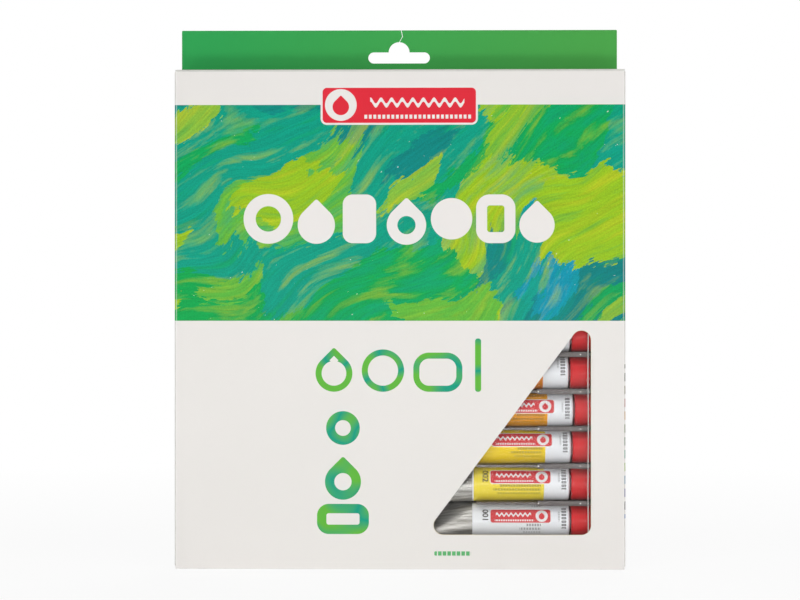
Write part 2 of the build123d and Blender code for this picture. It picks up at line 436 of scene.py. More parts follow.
def row_colours(shader, x, z):
    """Ink that drifts from leaf green through teal, as on a gradient fill."""
    slow = shader.noise(shader.point(x, 5.0, z), 0.055, 0.0)
    stops = [(0.36, LEAF), (0.52, TEAL), (0.66, LEAF)]
    return shader.node("ShaderNodeValToRGB", {"stops": stops}, {0: slow})


# %% [markdown]
# The board itself is coated white and nearly flat: a very fine bump of paper fibre under a satin
# varnish. Where it was cut, its raw core shows, and inside it is uncoated. The mask for each comes
# from the surface normal and the depth behind the front.

# %% Board material
def coated_board(name):
    """Plain coated board: its shader, the place, the paper's fibre and the white of the coat."""
    shader = Shader(name, Roughness=0.42, Specular_IOR_Level=0.45)
    x, y, z = shader.place()
    where = shader.point(x, y, z)
    fibre = shader.noise(where, 1.6, 4.0, 0.6)
    cloud = shader.noise(where, 0.02, 2.0, 0.5)
    paper = shader.mix(cloud, WHITE, screen(231, 228, 224))
    return shader, (x, y, z), fibre, paper


# %% The print on the front
def stripe(z, foot, head):
    """A mask for all that lies between two levels."""
    return ink(abs(z - (foot + head) / 2) - (head - foot) / 2)


def front_print(shader, x, z, on_front, colour):
    """The plate with its signs, the rows of shapes, and the dashes under the window."""
    plate = bar(x, z, PLATE_CENTRE, PLATE_SIZE, PLATE_CORNER)
    colour = shader.mix(ink(plate - KEYLINE) * on_front, colour, WHITE)
    colour = shader.mix(ink(plate) * on_front, colour, PLATE_RED)
    signs = scribble(x, z, (-15.0, 33.0), 238.0, 1.5, 5.4, 1.5)
    signs = signs & dashes(x, z, -18.4, 36.5, 230.8, 2.0, 2.3, 0.62, 0.0)
    signs = signs & (disc(x, z, (-30.0, 236.8), 8.1) | (0.0 - drop(x, z, (-30.0, 235.8), 4.2)))
    colour = shader.mix(ink(signs) * on_front, colour, WHITE)
    colour = shader.mix(ink(white_row(x, z)) * on_front, colour, WHITE)
    inks = row_colours(shader, x, z)
    colour = shader.mix(ink(thin_row(x, z) & bold_column(x, z)) * on_front, colour, inks)
    small = bar(x, z, (27.0, 8.1), (18.6, 2.2), 0.6) | (((x * 0.42).math("FRACT") - 0.22) * -2.4)
    return shader.mix(ink(small) * on_front, colour, SMALL_PRINT)


# %% Painted light on the folds, and the cut edges
def window_edge(x, z):
    """How far a point of the front lies from the foot and the right side of the window's opening."""
    left = film_low.x + FILM_MARGIN + WINDOW_CORNER
    right = film_high.x - FILM_MARGIN - WINDOW_CORNER
    foot = film_low.z + FILM_MARGIN + WINDOW_CORNER
    head = film_high.z - FILM_MARGIN - WINDOW_CORNER
    nearest = segment(x, z, (left, foot), (right, foot)) & segment(x, z, (right, foot), (right, head))
    return nearest - WINDOW_CORNER


def fold_light_and_cut_edges(shader, x, z, depth, outside, fibre, colour):
    """Painted light on the folds: a pale crease down each side fold, part painted highlight and part ink
    thinned on the crease; painted shade on each roll, greenish on the top one as a painted reflection of the
    tab; and the raw core round the window.
    """
    # A pale line down each side fold: part painted highlight on the crease's ridge, part ink thinned where
    # the board is creased.
    crease_highlight_and_wear = ink(abs(abs(x) - (half_width - CREASE_IN)) - 0.16, 0.3) * (0.55 + fibre * 0.5)
    colour = shader.mix(crease_highlight_and_wear * outside * 0.55, colour, CREASE_WHITE)
    # Painted shade: the side roll is a little darker where the fold turns away from the light.
    turned = ink(half_width - CREASE_IN * 0.62 - abs(x), 0.5) * outside
    colour = shader.mix(turned * 0.10, colour, SIDE_SHADE)
    # Painted shade on the rolled top fold, greenish as a painted reflection of the green tab.
    head_roll_shade = ink(box_top - 1.15 - z, 0.5) * ink(depth - 1.4, 0.2)
    colour = shader.mix(head_roll_shade * 0.22, colour, HEAD_SHADE_AND_TAB_REFLECTION)
    cut = ink(window_edge(x, z) - 0.16, 0.25) * ink(depth - 1.0, 0.1)
    return shader.mix(cut * (0.55 + fibre * 0.5), colour, RAW_EDGE)


# %% The colour chips on the side
def chips(z):
    """Twelve colour chips up the side panel."""
    place = abs(((z - CHIP_FOOT) / CHIP_PITCH).math("FRACT") - 0.5) * CHIP_PITCH - CHIP_HEIGHT / 2
    return ink(place) * stripe(z, CHIP_FOOT + CHIP_PITCH / 2, CHIP_TOP + CHIP_PITCH / 2)


def chip_colours(shader, z):
    tints = [(66, 112, 176), (44, 40, 62), (84, 76, 150), (60, 130, 165), (150, 180, 76), (60, 150, 130)]
    tints += [(104, 130, 108), (110, 128, 84), (200, 150, 84), (176, 104, 104), (118, 108, 82), (84, 86, 78)]
    share = (z - CHIP_FOOT) / (CHIP_PITCH * CHIP_COUNT)
    stops = [(index / CHIP_COUNT, screen(*tint)) for index, tint in enumerate(tints)]
    colour = shader.node("ShaderNodeValToRGB", {"stops": stops}, {0: share})
    colour.socket.node.color_ramp.interpolation = "CONSTANT"
    return colour


# %% The whole sheet
def printed_board():
    """The carton's sheet with its whole print."""
    shader, (x, y, z), fibre, paper = coated_board("printed_board")
    shader.set(Specular_IOR_Level=0.15)
    depth = y - front_plane
    unrolled = x + x.math("SIGN") * (depth & 21.0) * ink(half_width - 0.6 - abs(x), 0.2)
    paint, hairs = daubs(shader, unrolled, z)
    on_front = ink(depth - board_thickness * 0.7, 0.05)
    on_side = ink(half_width - board_thickness * 0.7 - abs(x), 0.05)
    outside = on_front | on_side
    band_mask = stripe(z, BAND_FOOT, BAND_HEAD) * outside
    colour = front_print(shader, x, z, on_front, shader.mix(band_mask, paper, paint))
    beside = ink(half_width - 0.9 - x, 0.2) * ink(0.15 - depth, 0.1)
    colour = shader.mix(chips(z) * beside, colour, chip_colours(shader, z))
    inside = (1.0 - outside) * ink(depth - (back_plane - front_plane - 0.2), 0.05)
    colour = shader.mix(inside * ink(z - box_top + 1.2, 0.1), colour, INSIDE_BOARD)
    tab_tone = shader.mix((x * 0.005 + 0.5 + (fibre - 0.5) * 0.5).clamp(), TAB_GREEN, TAB_LEAF)
    on_tab = ink(box_top - 0.6 - z, 0.2) * ink(2.0 - depth, 0.1)
    colour = shader.mix(on_tab, colour, tab_tone)
    colour = fold_light_and_cut_edges(shader, x, z, depth, outside, fibre, colour)
    height = fibre * 0.3 + hairs * band_mask * 1.4
    shader.set(Base_Color=colour, Roughness=0.40 + (fibre - 0.5) * 0.12)
    shader.set(Normal=shader.bump(height, 0.012, 0.5))
    return shader.material

# %% [markdown]
# ## Board on its pieces
#
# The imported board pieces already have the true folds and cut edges, so they stay, and only take these
# materials. The lids and flaps are the same sheet: white and satin outside, grey and dull inside.

# %% Materials on the board's nodes
def give(node_name, material):
    """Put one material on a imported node."""
    slots = nodes[node_name].data.materials
    slots.clear()
    slots.append(material)


def flap_board(name, inward):
    """Lids and flaps: coated on one side, and raw on the side that faces `inward` when they are shut."""
    shader, _, fibre, paper = coated_board(name)
    normal = shader.facing()
    away = normal[0] * inward[0] + normal[1] * inward[1] + normal[2] * inward[2]
    raw = ((away - 0.5) * 4.0).clamp()
    grey = shader.mix(fibre, INSIDE_BOARD, screen(196, 190, 178))
    shader.set(Base_Color=shader.mix(raw, paper, grey), Roughness=0.42 + raw * 0.3)
    shader.set(Normal=shader.bump(fibre, 0.012, 0.5))
    return shader.material


board = printed_board()
print("board material has", len(board.node_tree.nodes), "nodes")

for node_name in ("carton_body", "header_panel"):
    give(node_name, board)
for end, inward in (("top", -1.0), ("bottom", 1.0)):
    lid_board = flap_board(f"{end}_lid_board", (0.0, 0.0, inward))
    for flap in ("lid", "dust_flap_right", "dust_flap_left"):
        give(f"{end}_{flap}", lid_board)
    low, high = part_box(f"{end}_tuck_flap")
    near_front = (low.y + high.y) / 2 < (front_plane + back_plane) / 2 * MM
    give(f"{end}_tuck_flap", flap_board(f"{end}_tuck_board", (0.0, 1.0 if near_front else -1.0, 0.0)))

# %% [markdown]
# ## The window film and the formed tray
#
# The film is clear and thin, so it is nearly all see-through: only its gloss shows. The tray is drawn
# down from a smoky sheet. Where it is seen edge-on, as on the ridges between the tubes, it looks darker,
# which a little colour and a high alpha give without true refraction.

# %% Film and tray materials
def clear_film():
    shader = Shader("clear_film", Base_Color=(0.2, 0.2, 0.2), Roughness=0.05, Specular_IOR_Level=0.5)
    ripple = shader.noise(shader.spot(), 0.03, 2.0, 0.5)
    shader.set(Alpha=0.03 + ripple * 0.03, Normal=shader.bump(ripple, 0.2, 0.4))
    return shader.material


def smoky_sheet():
    shader = Shader("smoky_sheet", Roughness=0.14, Specular_IOR_Level=0.6)
    x, y, z = shader.place()
    where = shader.point(x, y, z)
    cloud = shader.noise(where, 0.05, 3.0, 0.5)
    flow = shader.noise(shader.point(x * 0.2, y, z), 0.5, 3.0, 0.5)
    colour = shader.mix(cloud, screen(120, 110, 108), screen(150, 140, 136))
    shader.set(Base_Color=colour, Alpha=0.42 + cloud * 0.12, Normal=shader.bump(flow, 0.03, 0.5))
    return shader.material


give("window_film", clear_film())
give("tray", smoky_sheet())

# %% [markdown]
# Three details of the formed sheet are too fine for the imported tray: the raised end of each ridge beside
# the caps, a small nub at both ends of it, which keeps the labels off the film, and the trimmed edge of
# the sheet that stands along the window's right side. The nubs and the trimmed edge are coloured
# near-white as painted highlights, for the glints that light makes on the clear sheet.

# %% Pieces that are made here
def add_piece(name, mesh, body, material, place=Matrix()):
    """Link a mesh as a piece that rides on a body."""
    mesh.materials.append(material)
    piece = bpy.data.objects.new(name, mesh)
    bpy.context.collection.objects.link(piece)
    piece.matrix_world = place
    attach(piece, body)
    return piece


def add_shape(name, shape, body, material):
    """Turn a bmesh in metres into a smooth piece that rides on a body."""
    mesh = bpy.data.meshes.new(name)
    bmesh.ops.recalc_face_normals(shape, faces=shape.faces)
    shape.to_mesh(mesh)
    shape.free()
    mesh.polygons.foreach_set("use_smooth", [True] * len(mesh.polygons))
    add_piece(name, mesh, body, material)


# %% Materials of the small pieces
def speckled(name, scale, first, second, **settings):
    """A plain material whose colour drifts between two."""
    shader = Shader(name, **settings)
    speck = shader.noise(shader.spot(), scale, 2.0, 0.5)
    shader.set(Base_Color=shader.mix(speck, screen(*first), screen(*second)))
    return shader.material


def ridge_sheet():
    shader = Shader("ridge_sheet", Roughness=0.30, Specular_IOR_Level=0.5)
    x, y, z = shader.place()
    cloud = shader.noise(shader.point(x * 0.3, y, z * 0.3), 0.12, 3.0, 0.5)
    shader.set(Base_Color=shader.mix(cloud, screen(94, 87, 86), screen(120, 113, 111)), Alpha=0.9)
    return shader.material


# %% Nubs and raised ends on the ridges
RIDGE_STATIONS = (70.4, 71.2, 83.0, 95.4, 96.0)
RIDGE_ARCS = 8
RIDGE_DROP = 1.6
RIDGE_RISE = 0.3
RIDGE_HALF_WIDTH = 1.3
RIDGE_SINK = 0.35
NUB_PLACES = (-92.2, -70.8, 70.8, 92.2)
NUB_SIZE = (0.5, 0.55, 0.42)


def row_gaps():
    """The levels half way between one tube and the next, where the tray's ridges lie."""
    boxes = [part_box(f"cap_{index + 1:02d}") for index in range(COLUMN)]
    levels = [(low.z + high.z) / 2 / MM for low, high in boxes]
    return [(below + above) / 2 for below, above in zip(levels, levels[1:])]


def add_ridge_end(shape, side, level):
    """A low arched bar on a ridge, sunk into the sheet at both ends."""
    rows = []
    for x in RIDGE_STATIONS:
        sunk = RIDGE_SINK if x in (RIDGE_STATIONS[0], RIDGE_STATIONS[-1]) else 0.0
        arch = [math.pi * step / RIDGE_ARCS for step in range(RIDGE_ARCS + 1)]
        row = [(sunk - RIDGE_RISE * math.sin(turn), -RIDGE_HALF_WIDTH * math.cos(turn)) for turn in arch]
        spots = [Vector((side * x, ridge_depth + deep, tall + level)) * MM for deep, tall in row]
        rows.append([shape.verts.new(spot) for spot in spots])
    for row, after in zip(rows, rows[1:]):
        for step in range(RIDGE_ARCS):
            shape.faces.new([row[step], row[step + 1], after[step + 1], after[step]])


ridge_depth = film_high.y + RIDGE_DROP
ridge_levels = row_gaps()
nubs = bmesh.new()
bars = bmesh.new()
for level in ridge_levels:
    for side in (-1.0, 1.0):
        add_ridge_end(bars, side, level)
    for x in NUB_PLACES:
        place = Matrix.Translation(Vector((x, ridge_depth, level)) * MM)
        shape = place @ Matrix.Diagonal((*(size * MM for size in NUB_SIZE), 1.0))
        bmesh.ops.create_uvsphere(nubs, u_segments=12, v_segments=8, radius=1.0, matrix=shape)
# Near-white painted highlight for the clear nubs and the trimmed edge, in place of their glints.
painted_highlight_white = speckled(
    "sheet_painted_highlight", 0.6, (226, 222, 220), (250, 248, 246), Roughness=0.22, Specular_IOR_Level=0.6
)
add_shape("tray_nubs", nubs, "carton", painted_highlight_white)
add_shape("tray_ridge_ends", bars, "carton", ridge_sheet())
print("ridges:", len(ridge_levels), "at depth", round(ridge_depth - front_plane, 2))

# %% The trimmed edge of the sheet
EDGE_ROWS = 30
EDGE_SIDES = 8
EDGE_RADIUS = 0.2
EDGE_WOBBLE = 0.06
edge_x = film_high.x - FILM_MARGIN - 1.35
edge_low = film_low.z + FILM_MARGIN + 1.2
edge_high = film_high.z - FILM_MARGIN - 1.6

trim = bmesh.new()
for level in [edge_low + (edge_high - edge_low) * step / EDGE_ROWS for step in range(EDGE_ROWS + 1)]:
    wobble = EDGE_WOBBLE * math.sin(level * 0.11)
    for side in range(EDGE_SIDES):
        angle = math.tau * side / EDGE_SIDES
        x = edge_x + wobble + EDGE_RADIUS * math.cos(angle)
        y = film_high.y + 0.22 + EDGE_RADIUS * math.sin(angle)
        trim.verts.new(Vector((x, y, level)) * MM)
trim.verts.ensure_lookup_table()
for row in range(EDGE_ROWS):
    for side in range(EDGE_SIDES):
        low, after = row * EDGE_SIDES, (side + 1) % EDGE_SIDES
        corners = (low + side, low + after, low + EDGE_SIDES + after, low + EDGE_SIDES + side)
        trim.faces.new([trim.verts[corner] for corner in corners])
add_shape("tray_trimmed_edge", trim, "carton", painted_highlight_white)
print("trimmed edge from", round(edge_low, 1), "to", round(edge_high, 1))

# %% [markdown]
# ## The tubes
#
# A paint tube is rolled from thin soft aluminium. Its tail is pressed flat and folded over, so its
# section goes from a circle to a line, and the way round it stays the same length all along. That makes
# every section between them a stadium: two half circles with straight sides. The mesh is a stack of such
# rings. Shallow flutes run out from the crimp, because the metal buckles there, and no two are alike.

# %% Tube sizes, in millimetres from the tail
cap_low, cap_high = (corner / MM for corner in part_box("cap_01"))
CAP_RADIUS = (cap_high.z - cap_low.z) / 2
CAP_LENGTH = cap_high.x - cap_low.x
TUBE_RADIUS = CAP_RADIUS + 0.15
TAPER_LENGTH = 38.0
TUBE_LENGTH = 85.6
CRIMP_LENGTH = 4.0
NECK_RADIUS = 4.2
NECK_LENGTH = 6.4
FLAT_SHARE = 0.045
CRIMP_HALF = 0.58
GROOVES = (1.3, 2.6)
GROOVE_DEPTH = 0.28
FLUTES = 14
FLUTE_REACH = 9.0
FLUTES_RISE, FLUTES_FALL = (4.5, 12.0), (30.0, 37.0)
BELLY_RISE, BELLY_FALL = (36.0, 50.0), (74.0, 84.0)
PRESS_RISE, PRESS_FALL = (10.0, 30.0), (34.0, 84.0)
BODY_LENGTH = 45.6
TAPER_RINGS = 26
BODY_RINGS = 18
DIAGONAL = math.sqrt(0.5)
AROUND = 72
LABEL_START = 36.0
BAND_START = 36.7
BAND_END = 72.6
WORD_STARTS = (63.4, 50.1, 58.5, 57.0, 55.0, 52.0)


def blend_in(value, low, high):
    """A smooth step from 0 at `low` to 1 at `high`."""
    share = min(max((value - low) / (high - low), 0.0), 1.0)
    return share * share * (3.0 - 2.0 * share)


def between(value, rise, fall):
    """1 from the end of `rise` to the start of `fall`, and 0 outside both, in smooth steps."""
    return blend_in(value, *rise) * (1.0 - blend_in(value, *fall))


def soft_clip(value):
    return max(-1.0, min(1.0, value))


# %% Rings of the tube
def flutes(seed):
    """Random shallow flutes of the tail: angle, width, depth and where along the tube each peaks."""
    dice = random.Random(seed)
    made = []
    for _ in range(FLUTES):
        angle = dice.uniform(0.0, math.tau)
        made.append((angle, dice.uniform(0.10, 0.26), dice.uniform(-0.26, 0.12), dice.uniform(10.0, 26.0)))
    return made


def fluting(ridges, x, angle):
    """How far the wall stands in or out of the smooth form."""
    push = 0.0
    for centre, spread, depth, peak in ridges:
        away = (angle - centre + math.pi) % math.tau - math.pi
        reach = math.exp(-((x - peak) / FLUTE_REACH) ** 2) * math.exp(-(away / spread) ** 2)
        push += depth * reach
    return push


def ring_point(x, angle, ridges, swell):
    """One point of the tube's wall, as (y, z) on the tube's own axis."""
    share = max(min(x / TAPER_LENGTH, 1.0), FLAT_SHARE)
    half_line = (1.0 - share) * (math.pi * TUBE_RADIUS / 2 - 0.5)
    radius = CRIMP_HALF if x < CRIMP_LENGTH else TUBE_RADIUS * share
    push = fluting(ridges, x, angle) * between(x, FLUTES_RISE, FLUTES_FALL)
    belly = swell * math.cos(2.0 * angle + 0.6) * between(x, BELLY_RISE, BELLY_FALL)
    radius += push + belly
    wide = radius * math.cos(angle) + half_line * soft_clip(math.cos(angle) * 2.4)
    tall = radius * math.sin(angle)
    return press(x, wide * DIAGONAL - tall * DIAGONAL, wide * DIAGONAL + tall * DIAGONAL)


def press(x, y, z):
    """The label part is pressed a little oval by its place in the box, most of all towards the tail."""
    amount = between(x, PRESS_RISE, PRESS_FALL)
    return (y * (1.0 - 0.035 * amount), z * (1.0 + 0.05 * amount))


def tube_stations():
    """Where along the tube the rings lie: close together at the crimp's folds and at the shoulder."""
    crimp = [0.0, 0.15, 1.15, 1.3, 1.45, 2.45, 2.6, 2.75, 3.85, 4.0]
    sloping = TAPER_LENGTH - CRIMP_LENGTH
    taper = [CRIMP_LENGTH + sloping * (step + 1) / TAPER_RINGS for step in range(TAPER_RINGS)]
    body = [TAPER_LENGTH + BODY_LENGTH * (step + 1) / BODY_RINGS for step in range(BODY_RINGS)]
    return crimp + taper + body


# %% The tube's mesh
def lathe(profile, sides, start=0.0):
    """Rings of points for a profile of (x, radius) that is turned about the x axis."""
    angles = [math.tau * step / sides + start for step in range(sides)]
    return [[(x, r * math.cos(angle), r * math.sin(angle)) for angle in angles] for x, r in profile]


def tube_mesh(name, seed):
    """The whole tube: crimp, fluted tail, label part, rolled shoulder and neck."""
    ridges = flutes(seed)
    swell = random.Random(seed + 500).uniform(-0.10, 0.10)
    rings = []
    for x in tube_stations():
        in_groove = any(abs(x - groove) < 0.05 for groove in GROOVES)
        ring = []
        for step in range(AROUND):
            angle = math.tau * step / AROUND
            y, z = ring_point(x, angle, ridges, swell)
            if in_groove:
                shift = GROOVE_DEPTH * soft_clip((z - y) * DIAGONAL * 4.0) * DIAGONAL
                y, z = y + shift, z - shift
            ring.append((x, y, z))
        rings.append(ring)
    neck_end = TUBE_LENGTH + NECK_LENGTH
    roll = [(84.3, TUBE_RADIUS), (84.9, TUBE_RADIUS - 0.09), (85.3, TUBE_RADIUS - 0.33)]
    roll += [(85.55, TUBE_RADIUS - 0.8), (85.75, 6.4), (86.2, 4.6), (86.4, NECK_RADIUS)]
    roll += [(neck_end - 0.5, NECK_RADIUS), (neck_end - 0.1, 4.0), (neck_end, 3.6)]
    return skin(name, rings + lathe(roll, AROUND, math.pi / 4))


def skin(name, rings):
    """A closed mesh over a stack of rings, in metres."""
    points = [Vector(point) * MM for ring in rings for point in ring]
    around = len(rings[0])
    faces = []
    for row in range(len(rings) - 1):
        for step in range(around):
            after = (step + 1) % around
            low, high = row * around, (row + 1) * around
            faces.append((low + step, low + after, high + after, high + step))
    faces.append(tuple(reversed(range(around))))
    top = (len(rings) - 1) * around
    faces.append(tuple(top + step for step in range(around)))
    mesh = bpy.data.meshes.new(name)
    mesh.from_pydata(points, [], faces)
    shape = bmesh.new()
    shape.from_mesh(mesh)
    bmesh.ops.recalc_face_normals(shape, faces=shape.faces)
    shape.to_mesh(mesh)
    shape.free()
    mesh.polygons.foreach_set("use_smooth", [len(face) == 4 for face in faces])
    mesh.update()
    return mesh


# %% [markdown]
# The metal is bare at the tail and lacquered under the label. On the label, the way round the tube is an
# arc length, so that a printed plate keeps its true size as it goes round. Its lines of small print are
# only rows of dashes, and the number on each tube just counts it.

# %% Paints and inks of the labels
PAINTS = [(248, 250, 252), (254, 230, 66), (255, 218, 10), (255, 172, 12), (252, 146, 28), (236, 96, 46)]
PAINTS += [(206, 44, 48), (176, 30, 74), (186, 60, 140), (110, 60, 140), (56, 62, 148), (28, 92, 172)]
PAINTS += [(34, 150, 200), (20, 160, 150), (26, 140, 84), (96, 176, 66), (160, 190, 60), (120, 116, 56)]
PAINTS += [(196, 148, 72), (160, 92, 52), (108, 62, 46), (74, 50, 44), (120, 122, 124), (30, 30, 34)]
# The two greys of the bare foil are painted reflection: dark streaks and pale painted highlights.
FOIL_PAINTED_DARK = screen(136, 133, 126)
FOIL_PAINTED_HIGHLIGHT = screen(216, 214, 209)
LABEL_WHITE = screen(248, 250, 254)
LABEL_INK = screen(62, 56, 60)
LABEL_RED = screen(222, 62, 66)
PLATE_RIM = screen(244, 244, 244)
SIGN_WHITE = screen(246, 240, 240)


# %% The upright word
def letters(along, across, start, end, level, tall, pitch):
    """A row of small hollow boxes that stands for a bold word."""
    line = bar(along, across, ((start + end) / 2, level), (end - start, tall + 1.0), 0.1)
    place = ((along * (1.0 / pitch)).math("FRACT") - 0.5) * pitch
    box = outline(bar(place, across, (0.0, level), (pitch * 0.68, tall), 0.4), 0.52)
    return line | box


# %% The label's print
def small_print(shader, x, arc, starts, colour):
    """Four rows of dashes on the band of paint colour, each a little fainter, and none before `starts`."""
    rows = [(-0.9, 1.3, 1.35, 0.68, 0.0, 0.0), (-3.0, 1.3, 1.45, 0.68, 0.3, -3.4)]
    rows += [(10.1, 1.2, 1.35, 0.66, 0.2, 3.0), (-5.2, 1.3, 1.3, 0.66, 0.5, -1.6)]
    first, second, above, third = [
        dashes(x, arc, 40.0, 71.0, level, tall, pitch, fill, wobble) | (starts + shift - x)
        for level, tall, pitch, fill, wobble, shift in rows
    ]
    for row, strength in ((first, 0.62), (second & above, 0.52), (third, 0.36)):
        colour = shader.mix(ink(row, 0.25) * strength, colour, LABEL_INK)
    return colour


def label_print(shader, x, arc, starts, colour):
    """The dashes, the upright word beside the cap, and the red plate with its signs."""
    colour = small_print(shader, x, arc, starts, colour)
    words = letters(arc, x, -2.9, 8.5, 82.7, 2.4, 1.75)
    colour = shader.mix(ink(words, 0.2) * 0.85, colour, LABEL_INK)
    small = dashes(arc, x, 1.0, 6.2, 80.2, 0.9, 0.9, 0.6, 0.4)
    colour = shader.mix(ink(small, 0.2) * 0.5, colour, LABEL_INK)
    plate = bar(x, arc, (60.6, 3.8), (30.6, 7.0), 1.2)
    colour = shader.mix(ink(plate - 0.35), colour, PLATE_RIM)
    colour = shader.mix(ink(plate), colour, LABEL_RED)
    signs = scribble(x, arc, (48.0, 66.0), 4.5, 0.65, 2.4, 0.8)
    signs = signs & (disc(x, arc, (71.4, 3.8), 3.1) | (0.0 - drop(x, arc, (71.4, 3.5), 1.5)))
    signs = signs & dashes(x, arc, 47.5, 67.5, 1.5, 0.9, 1.2, 0.62, 0.0)
    return shader.mix(ink(signs, 0.2), colour, SIGN_WHITE)


# %% The tube's metal
def tube_metal():
    """Bare aluminium at the tail, then the lacquered label."""
    shader = Shader("tube_metal", Coat_Roughness=0.10, Specular_IOR_Level=0.2)
    x, y, z = shader.place()
    turn = shader.node("ShaderNodeAttribute", {"attribute_name": "turn"}, {}, 2)
    starts = shader.node("ShaderNodeAttribute", {"attribute_name": "words"}, {}, 2)
    band = shader.node("ShaderNodeAttribute", {"attribute_name": "paint"}, {}, 0)
    arc = z.math("ARCTAN2", y * -1.0) * TUBE_RADIUS - turn
    # On the bare tail the colour runs in streaks between a dark and a pale grey: painted streaky reflections
    # of the crumpled foil, over its real metallic gloss.
    streak = shader.noise(shader.point(x * 0.05, arc * 0.8, 4.0), 1.1, 4.0, 0.6)
    foil_painted_streaks = shader.mix(((streak - 0.5) * 2.4 + 0.5).clamp(), FOIL_PAINTED_DARK, FOIL_PAINTED_HIGHLIGHT)
    label = ink(LABEL_START - x)
    coloured = ink(BAND_START - x) & ink(x - BAND_END)
    lacquer = shader.mix(coloured, LABEL_WHITE, band)
    colour = shader.mix(label, foil_painted_streaks, label_print(shader, x, arc, starts, lacquer))
    cloud = shader.noise(shader.point(x, y, z), 0.35, 3.0, 0.5)
    creased = shader.noise(shader.point(x * 0.09, arc * 0.55, 9.0), 0.55, 3.0, 0.55, 0.6)
    bare = 1.0 - label
    shader.set(Base_Color=colour, Metallic=bare * 0.70, Coat_Weight=label * 0.5)
    shader.set(Roughness=0.34 + bare * 0.06 - streak * 0.08)
    height = streak * 0.4 + cloud * 0.5 + bare * creased * 26.0
    shader.set(Normal=shader.bump(height, 0.03, 0.6))
    return shader.material


# %% Tubes in their places
def tube_spot(index):
    """The tube's own frame: its tail's point on the axis, with +X towards its cap and the label in front."""
    low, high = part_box(f"tube_{index + 1:02d}")
    cap_low, cap_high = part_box(f"cap_{index + 1:02d}")
    level = (cap_low.z + cap_high.z) / 2
    deep = (cap_low.y + cap_high.y) / 2
    if index < COLUMN:
        return Matrix.Translation((low.x, deep, level))
    turned = Matrix.Rotation(math.pi, 4, "Z") @ Matrix.Rotation(math.pi, 4, "X")
    return Matrix.Translation((high.x, deep, level)) @ turned


def turn_of(index):
    """How far round, in millimetres of arc, the label is turned. No two tubes lie quite alike."""
    seen = (-0.7, 0.4, 0.4, -1.7, 1.7, -0.3)
    return seen[index] if index < len(seen) else random.Random(index + 90).uniform(-1.6, 1.6)


def paint_mesh(mesh, index):
    """Store what differs from tube to tube on every point: the paint's colour, the turn and the words."""
    count = len(mesh.vertices)
    layer = mesh.color_attributes.new("paint", "FLOAT_COLOR", "POINT")
    layer.data.foreach_set("color", [*screen(*PAINTS[index]), 1.0] * count)
    for name, value in (("turn", turn_of(index)), ("words", WORD_STARTS[index % len(WORD_STARTS)])):
        mesh.attributes.new(name, "FLOAT", "POINT").data.foreach_set("value", [value] * count)


metal = tube_metal()
dark_ink = speckled("number_ink", 3.0, (52, 50, 48), (76, 72, 68), Roughness=0.35)
for index in range(2 * COLUMN):
    mesh = tube_mesh(f"tube_{index + 1:02d}_wall", index + 11)
    paint_mesh(mesh, index)
    tube = add_piece(f"paint_tube_{index + 1:02d}", mesh, "carton", metal, tube_spot(index))
    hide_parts(f"tube_{index + 1:02d}")
print("tubes:", 2 * COLUMN, "points each:", len(mesh.vertices))


# %% [markdown]
# Each number is real geometry, as thick ink is. Text lies flat when it is made, so it is cut into narrow
# strips across its width first, and each strip can then follow the curve of the tube.

# %% Numbers on the tubes
NUMBER_SIZE = 4.1
NUMBER_BASELINE = 41.3
NUMBER_TURN = 3.9
INK_RISE = 0.18
STRIP = 0.4


def cut_strips(shape):
    """Cut a flat shape across its width, every STRIP millimetres."""
    reach = max(abs(vertex.co.x) for vertex in shape.verts)
    cut = -reach + STRIP
    while cut < reach:
        geometry = shape.verts[:] + shape.edges[:] + shape.faces[:]
        bmesh.ops.bisect_plane(shape, geom=geometry, plane_co=(cut, 0, 0), plane_no=(1, 0, 0))
        cut += STRIP


def number_mesh(number, roll):
    """The tube's number, bent round the label as far as that is turned."""
    text = bpy.data.curves.new(f"number_{number:02d}", "FONT")
    text.body = f"{number:03d}"
    text.size = NUMBER_SIZE
    text.offset = 0.06
    text.align_x = "CENTER"
    text.resolution_u = 4
    holder = bpy.data.objects.new("number_holder", text)
    bpy.context.collection.objects.link(holder)
    flat = bpy.data.meshes.new_from_object(holder.evaluated_get(bpy.context.evaluated_depsgraph_get()))
    bpy.data.objects.remove(holder)
    bpy.data.curves.remove(text)
    shape = bmesh.new()
    shape.from_mesh(flat)
    cut_strips(shape)
    radius = TUBE_RADIUS + INK_RISE
    for vertex in shape.verts:
        along = NUMBER_BASELINE + vertex.co.y
        angle = (NUMBER_TURN + roll - vertex.co.x) / TUBE_RADIUS
        y, z = press(along, -radius * math.cos(angle), radius * math.sin(angle))
        vertex.co = Vector((along, y, z)) * MM
    bmesh.ops.recalc_face_normals(shape, faces=shape.faces)
    shape.to_mesh(flat)
    shape.free()
    flat.materials.clear()
    flat.name = f"number_{number:02d}"
    return flat


for index in range(2 * COLUMN):
    mesh = number_mesh(index + 1, turn_of(index))
    add_piece(f"tube_number_{index + 1:02d}", mesh, "carton", dark_ink, tube_spot(index))
print("numbers:", 2 * COLUMN)

# %% [markdown]
# ## The caps
#
# The caps are turned profiles: a smooth skirt with soft edges, a shallow dish on the end, and a bore
# for the neck. They are moulded in red plastic, a little uneven in gloss.

